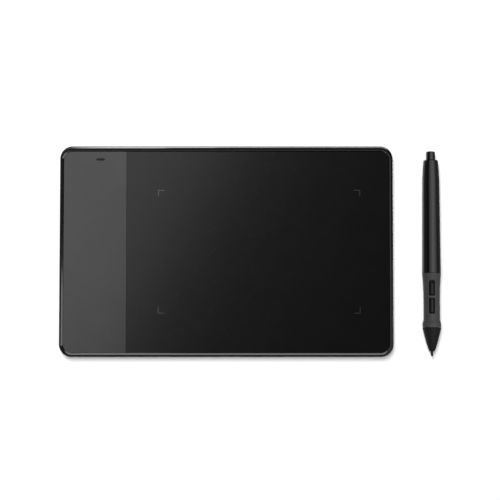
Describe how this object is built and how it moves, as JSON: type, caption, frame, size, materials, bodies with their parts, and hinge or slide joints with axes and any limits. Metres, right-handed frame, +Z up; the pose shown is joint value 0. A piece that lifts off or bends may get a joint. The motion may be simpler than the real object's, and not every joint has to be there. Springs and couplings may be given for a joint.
{
  "type": "pen drawing tablet",
  "caption": "Slim flat drawing tablet with recessed sheet, side panel and rubber feet, and a battery pen with side buttons lying beside it.",
  "frame": {"origin": "on the desk, under the middle of the box that holds the tablet and the pen beside it", "axes": "+X along the tablet's long side, towards the pen; +Y away from the person who draws; +Z up"},
  "size_m": [0.2778, 0.1536, 0.0135],
  "materials": {
    "case_black": "fine moulded texture",
    "frame_gloss": "polished",
    "drawing_black": "fine paper-like grain",
    "panel_grey": "satin",
    "lens_dark": "polished, smoked",
    "pipe_clear": "clear",
    "led_white": "moulded",
    "foot_rubber": "matt",
    "steel": "plated",
    "nickel": "nickel plated",
    "brass": "bright",
    "copper": "enamelled winding",
    "board_green": "solder mask",
    "film_amber": "satin film",
    "chip_black": "moulded epoxy",
    "connector_cream": "moulded",
    "ribbon_white": "satin film",
    "pen_gloss": "polished",
    "grip_rubber": "soft-touch",
    "cone_satin": "satin",
    "nib_black": "smooth",
    "core_grey": "moulded",
    "ferrite": "sintered",
    "cell_jacket": "printed jacket"
  },
  "bodies": {
    "tablet": {"base_cover": "case_black", "top_frame": "frame_gloss", "drawing_sheet": "drawing_black", "side_panel": "panel_grey", "status_lens": "lens_dark", "light_pipe": "pipe_clear", "status_led": "led_white", "foot_front_left": "foot_rubber", "foot_front_right": "foot_rubber", "foot_rear_left": "foot_rubber", "foot_rear_right": "foot_rubber", "case_screw_front_left": "steel", "case_screw_front_right": "steel", "case_screw_rear_left": "steel", "case_screw_rear_right": "steel", "board_screw_front": "steel", "board_screw_rear": "steel", "sensor_board": "board_green", "insulating_film": "film_amber", "shield_plate": "steel", "main_board": "board_green", "main_chip": "chip_black", "analog_chip": "chip_black", "voltage_regulator": "chip_black", "crystal": "nickel", "sensor_connector": "connector_cream", "ribbon_cable": "ribbon_white", "usb_receptacle": "nickel", "usb_tongue": "chip_black"},
    "pen": {"nose_cone": "cone_satin", "pen_grip": "grip_rubber", "pen_core": "core_grey", "ferrite_core": "ferrite", "antenna_coil": "copper", "pressure_sensor": "nickel", "pen_board": "board_green", "lower_switch": "chip_black", "upper_switch": "chip_black", "positive_contact": "brass", "contact_ring": "brass"},
    "nib": {"nib": "nib_black", "nib_holder": "core_grey"},
    "lower_button": {"lower_button": "cone_satin"},
    "upper_button": {"upper_button": "cone_satin"},
    "barrel": {"pen_barrel": "pen_gloss", "tail_cap": "pen_gloss", "battery_tube": "nickel", "battery_spring": "steel"},
    "battery": {"battery_cell": "cell_jacket", "battery_terminal": "nickel"}
  },
  "joints": [
    {"name": "pen_lift", "type": "slide", "parent": "tablet", "child": "pen", "axis": [0, 0, 1], "range_m": [0, 0.1]},
    {"name": "nib_press", "type": "slide", "parent": "pen", "child": "nib", "axis": [0, 1, 0], "range_m": [0, 0.001], "stiffness_N_per_m": 400},
    {"name": "lower_button_press", "type": "slide", "parent": "pen", "child": "lower_button", "axis": [0, 0, -1], "range_m": [0, 0.0005], "stiffness_N_per_m": 1500},
    {"name": "upper_button_press", "type": "slide", "parent": "pen", "child": "upper_button", "axis": [0, 0, -1], "range_m": [0, 0.0005], "stiffness_N_per_m": 1500},
    {"name": "barrel_pull", "type": "slide", "parent": "pen", "child": "barrel", "axis": [0, 1, 0], "range_m": [0, 0.08]},
    {"name": "battery_slide", "type": "slide", "parent": "pen", "child": "battery", "axis": [0, 1, 0], "range_m": [0, 0.04]}
  ],
  "couplings": [
    {"joint": "battery_slide", "follows": "barrel_pull", "ratio": 0.5}
  ]
}
